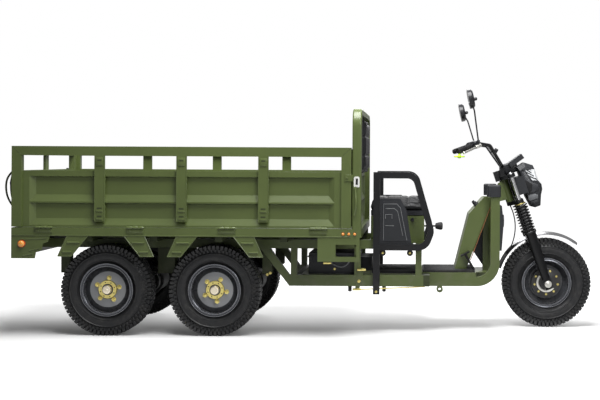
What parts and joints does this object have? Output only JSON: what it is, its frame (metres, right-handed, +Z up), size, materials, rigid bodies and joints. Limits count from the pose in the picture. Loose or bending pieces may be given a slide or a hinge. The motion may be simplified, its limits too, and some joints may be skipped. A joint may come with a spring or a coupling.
{
  "type": "electric cargo tricycle",
  "caption": "Electric cargo tricycle with a drop-side bed over tandem sprung rear axles, a driver's seat with side guards and a raked front fork.",
  "frame": {"origin": "on the floor under the middle of the overall length and width", "axes": "+X forward, +Y to the vehicle's left, +Z up"},
  "size_m": [3.714, 1.278, 1.5716],
  "materials": {
    "green_paint": "satin olive green paint",
    "black_paint": "semi-gloss black paint",
    "rim_paint": "dark grey paint with a bright lip",
    "bright_steel": "zinc plated",
    "spring_steel": "black spring steel",
    "cast_alloy": "cast case",
    "plated_tube": "hard chrome",
    "fender_steel": "polished stainless steel",
    "tyre_rubber": "black rubber",
    "grip_rubber": "black rubber",
    "mat_rubber": "ribbed black mat",
    "black_plastic": "moulded black plastic",
    "gloss_black_plastic": "gloss black plastic",
    "seat_vinyl": "black vinyl",
    "amber_lens": "amber lens",
    "red_lens": "red lens",
    "clear_lens": "clear lens"
  },
  "bodies": {
    "chassis": {"frame_rails": "green_paint", "frame_struts": "green_paint", "cross_members": "green_paint", "leaf_springs": "spring_steel", "spring_hangers": "green_paint", "axle_housings": "black_paint", "drive_motors": "cast_alloy", "bed_floor": "green_paint", "bed_bearers": "green_paint", "bed_sills": "green_paint", "bed_hinges": "green_paint", "headboard": "green_paint", "back_cushion": "seat_vinyl", "skirt_plates": "green_paint", "marker_lamps": "amber_lens", "tail_lamps": "red_lens", "guard_frames": "black_paint", "guard_panels": "black_plastic", "floor_loops": "green_paint", "post_caps": "black_plastic", "floor_pan": "green_paint", "floor_mat": "mat_rubber", "leg_shield": "green_paint", "splash_panel": "black_plastic", "neck": "green_paint", "seat_box": "green_paint", "power_boxes": "black_plastic", "driver_controls": "black_paint"},
    "seat": {"seat_pan": "black_plastic", "seat_cushion": "seat_vinyl"},
    "right_board": {"right_board_frame": "green_paint", "right_board_panel": "green_paint"},
    "left_board": {"left_board_frame": "green_paint", "left_board_panel": "green_paint"},
    "tailgate": {"tailgate_frame": "green_paint", "tailgate_panel": "green_paint", "tailgate_latches": "black_paint"},
    "steering": {"fork_clamps": "black_paint", "fork_tubes": "plated_tube", "fork_springs": "spring_steel", "fork_legs": "black_paint", "front_axle": "bright_steel", "front_fender": "fender_steel", "handlebar": "black_paint", "hand_grips": "grip_rubber", "hand_controls": "black_plastic", "mirrors": "gloss_black_plastic", "headlamp_shell": "black_plastic", "headlamp_lens": "clear_lens", "display": "black_plastic"},
    "front_roller": {"front_tyre": "tyre_rubber", "front_wheel": "rim_paint"},
    "rear_right_roller": {"rear_right_tyre": "tyre_rubber", "rear_right_wheel": "rim_paint"},
    "rear_left_roller": {"rear_left_tyre": "tyre_rubber", "rear_left_wheel": "rim_paint"},
    "middle_right_roller": {"middle_right_tyre": "tyre_rubber", "middle_right_wheel": "rim_paint"},
    "middle_left_roller": {"middle_left_tyre": "tyre_rubber", "middle_left_wheel": "rim_paint"}
  },
  "joints": [
    {"name": "steer", "type": "hinge", "parent": "chassis", "child": "steering", "pos_m": [1.51472, 0, 0.27872], "axis": [-0.3256, 0, 0.9455], "range_deg": [-35, 35]},
    {"name": "front_wheel_spin", "type": "hinge", "parent": "steering", "child": "front_roller", "pos_m": [1.562, 0, 0.295], "axis": [0, 1, 0], "continuous": true},
    {"name": "right_board_drop", "type": "hinge", "parent": "chassis", "child": "right_board", "pos_m": [0, -0.632, 0.6835], "axis": [1, 0, 0], "range_deg": [0, 165]},
    {"name": "left_board_drop", "type": "hinge", "parent": "chassis", "child": "left_board", "pos_m": [0, 0.632, 0.6835], "axis": [-1, 0, 0], "range_deg": [0, 165]},
    {"name": "tailgate_drop", "type": "hinge", "parent": "chassis", "child": "tailgate", "pos_m": [-1.826, 0, 0.6835], "axis": [0, -1, 0], "range_deg": [0, 160]},
    {"name": "seat_tilt", "type": "hinge", "parent": "chassis", "child": "seat", "pos_m": [0.747, 0, 0.7475], "axis": [0, 1, 0], "range_deg": [0, 60]},
    {"name": "rear_right_wheel_spin", "type": "hinge", "parent": "chassis", "child": "rear_right_roller", "pos_m": [-1.254, -0.47, 0.286], "axis": [0, 1, 0], "continuous": true},
    {"name": "rear_left_wheel_spin", "type": "hinge", "parent": "chassis", "child": "rear_left_roller", "pos_m": [-1.254, 0.47, 0.286], "axis": [0, 1, 0], "continuous": true},
    {"name": "middle_right_wheel_spin", "type": "hinge", "parent": "chassis", "child": "middle_right_roller", "pos_m": [-0.577, -0.47, 0.286], "axis": [0, 1, 0], "continuous": true},
    {"name": "middle_left_wheel_spin", "type": "hinge", "parent": "chassis", "child": "middle_left_roller", "pos_m": [-0.577, 0.47, 0.286], "axis": [0, 1, 0], "continuous": true}
  ]
}
